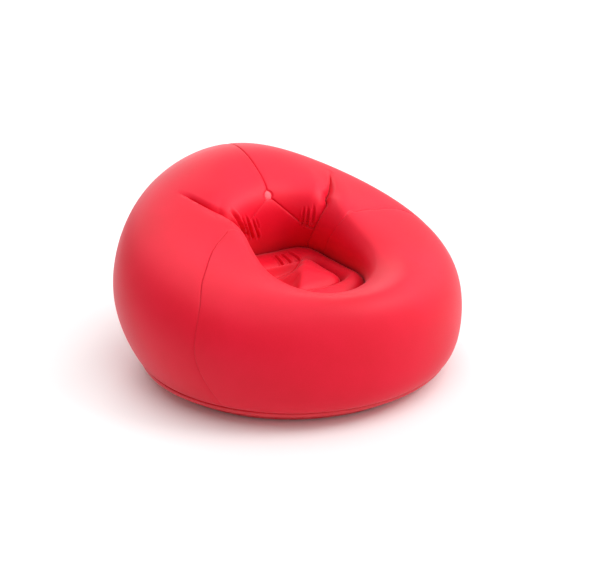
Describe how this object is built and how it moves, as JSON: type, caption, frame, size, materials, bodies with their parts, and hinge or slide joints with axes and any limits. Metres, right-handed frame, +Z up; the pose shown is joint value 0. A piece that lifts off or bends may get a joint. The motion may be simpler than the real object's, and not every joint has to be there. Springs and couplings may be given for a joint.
{
  "type": "inflatable armchair",
  "caption": "Round air-filled armchair of flocked vinyl: a ring that rises into a backrest round a cushioned seat well, with a tuft button and an air valve.",
  "frame": {"origin": "on the floor, under the middle of the chair's outline", "axes": "+Z up, the sitter faces -Y, +X is on the right of a viewer in front who looks along +Y"},
  "size_m": [1.0988, 1.0553, 0.6],
  "materials": {
    "flocked_vinyl": "short velvety flock on vinyl",
    "smooth_vinyl": "satin, smooth",
    "button_vinyl": "satin",
    "valve_plastic": "translucent, satin",
    "seal_rubber": "matt",
    "flap_film": "clear film"
  },
  "bodies": {
    "chair": {"rear_left_panel": "flocked_vinyl", "rear_right_panel": "flocked_vinyl", "front_panel": "flocked_vinyl", "lower_back_panel": "flocked_vinyl", "seat_ring_panel": "flocked_vinyl", "seat_pillow_panel": "flocked_vinyl", "base_panel": "smooth_vinyl", "button_disc": "button_vinyl", "seat_perimeter_web": "smooth_vinyl", "seat_groove_web": "smooth_vinyl", "back_tie": "smooth_vinyl", "tie_front_patch": "smooth_vinyl", "tie_rear_patch": "smooth_vinyl", "valve_patch": "smooth_vinyl", "valve_flange": "valve_plastic", "plug_tether": "valve_plastic"},
    "seal": {"plug_seal": "seal_rubber"},
    "plug": {"valve_plug": "valve_plastic", "cap_tether": "valve_plastic"},
    "cap": {"inflation_cap": "valve_plastic"},
    "flap": {"check_flap": "flap_film"}
  },
  "joints": [
    {"name": "plug_lift", "type": "slide", "parent": "chair", "child": "seal", "axis": [-0.4238, 0.8782, -0.2218], "range_m": [0, 0.005]},
    {"name": "plug_unscrew", "type": "hinge", "parent": "seal", "child": "plug", "pos_m": [-0.25322, 0.42472, 0.17342], "axis": [-0.4238, 0.8782, -0.2218], "range_deg": [0, 450]},
    {"name": "cap_hinge", "type": "hinge", "parent": "plug", "child": "cap", "pos_m": [-0.24475, 0.43984, 0.17115], "axis": [0.0964, -0.1998, -0.9751], "range_deg": [0, 160]},
    {"name": "flap_hinge", "type": "hinge", "parent": "plug", "child": "flap", "pos_m": [-0.24186, 0.42143, 0.17521], "axis": [-0.0964, 0.1998, 0.9751], "range_deg": [0, 45], "stiffness_Nm_per_rad": 0.001}
  ],
  "couplings": [
    {"joint": "plug_unscrew", "follows": "plug_lift", "rad_per_m": 1570.8}
  ]
}
